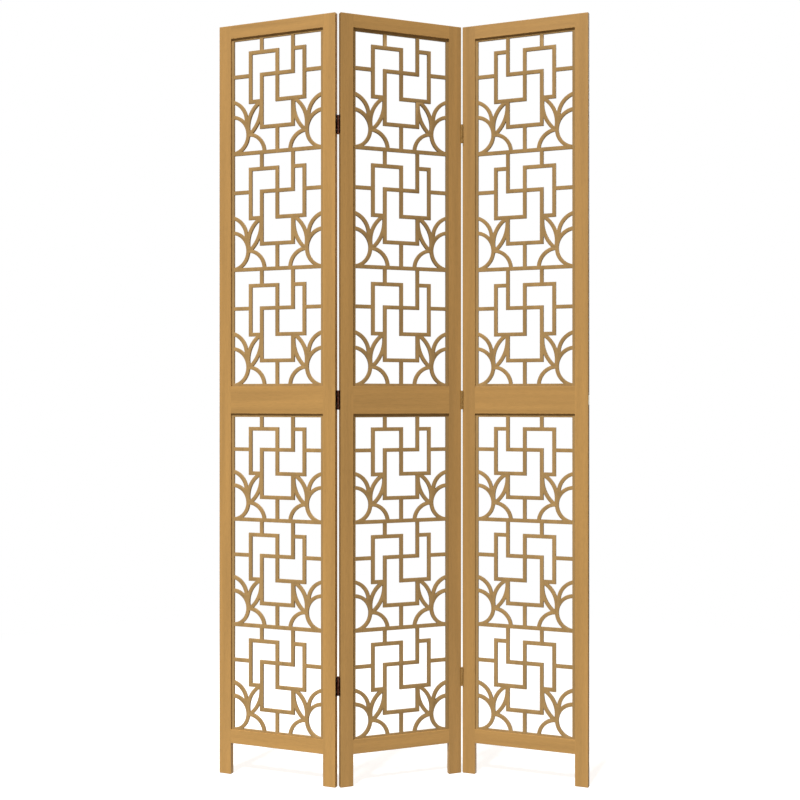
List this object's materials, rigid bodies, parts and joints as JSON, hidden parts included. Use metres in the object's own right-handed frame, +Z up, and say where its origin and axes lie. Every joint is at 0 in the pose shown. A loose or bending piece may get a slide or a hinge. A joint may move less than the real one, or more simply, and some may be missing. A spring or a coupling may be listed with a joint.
{
  "type": "folding lattice screen",
  "caption": "Free-standing folding screen of hinged wooden frames filled with fret-cut lattice boards of pinwheel rectangles and leaf arcs; the panels fold up as a Z.",
  "frame": {"origin": "on the floor, below the middle of the middle panel, which is the centre of the screen's base", "axes": "+Z up; +Y away from the viewer, the shallow way of the opened zigzag; +X to the viewer's right, along the line of the screen"},
  "size_m": [0.828, 0.1164, 1.7],
  "materials": {
    "frame_wood": "satin clear lacquer",
    "fret_wood": "satin clear lacquer",
    "antique_brass": "antique",
    "screw_metal": "antique",
    "plate_metal": "satin"
  },
  "bodies": {
    "middle_panel": {"middle_panel_left_stile": "frame_wood", "middle_panel_right_stile": "frame_wood", "middle_panel_top_rail": "frame_wood", "middle_panel_mid_rail": "frame_wood", "middle_panel_bottom_rail": "frame_wood", "middle_panel_upper_lattice": "fret_wood", "middle_panel_lower_lattice": "fret_wood", "left_fold_middle_leaves": "antique_brass", "left_fold_pins": "antique_brass", "left_fold_middle_screws": "screw_metal", "right_fold_middle_leaves": "antique_brass", "right_fold_pins": "antique_brass", "right_fold_middle_screws": "screw_metal"},
    "left_panel": {"left_panel_left_stile": "frame_wood", "left_panel_right_stile": "frame_wood", "left_panel_top_rail": "frame_wood", "left_panel_mid_rail": "frame_wood", "left_panel_bottom_rail": "frame_wood", "left_panel_upper_lattice": "fret_wood", "left_panel_lower_lattice": "fret_wood", "left_fold_outer_leaves": "antique_brass", "left_fold_outer_screws": "screw_metal"},
    "right_panel": {"right_panel_left_stile": "frame_wood", "right_panel_right_stile": "frame_wood", "right_panel_top_rail": "frame_wood", "right_panel_mid_rail": "frame_wood", "right_panel_bottom_rail": "frame_wood", "right_panel_upper_lattice": "fret_wood", "right_panel_lower_lattice": "fret_wood", "right_fold_outer_leaves": "antique_brass", "right_fold_outer_screws": "screw_metal", "edge_plate": "plate_metal", "edge_plate_screws": "screw_metal"}
  },
  "joints": [
    {"name": "left_fold", "type": "hinge", "parent": "middle_panel", "child": "left_panel", "pos_m": [-0.13859, -0.04513, 0.85], "axis": [0, 0, 1], "range_deg": [-137.12, 42.88]},
    {"name": "right_fold", "type": "hinge", "parent": "middle_panel", "child": "right_panel", "pos_m": [0.13859, 0.04513, 0.85], "axis": [0, 0, 1], "range_deg": [-137.12, 42.88]}
  ]
}
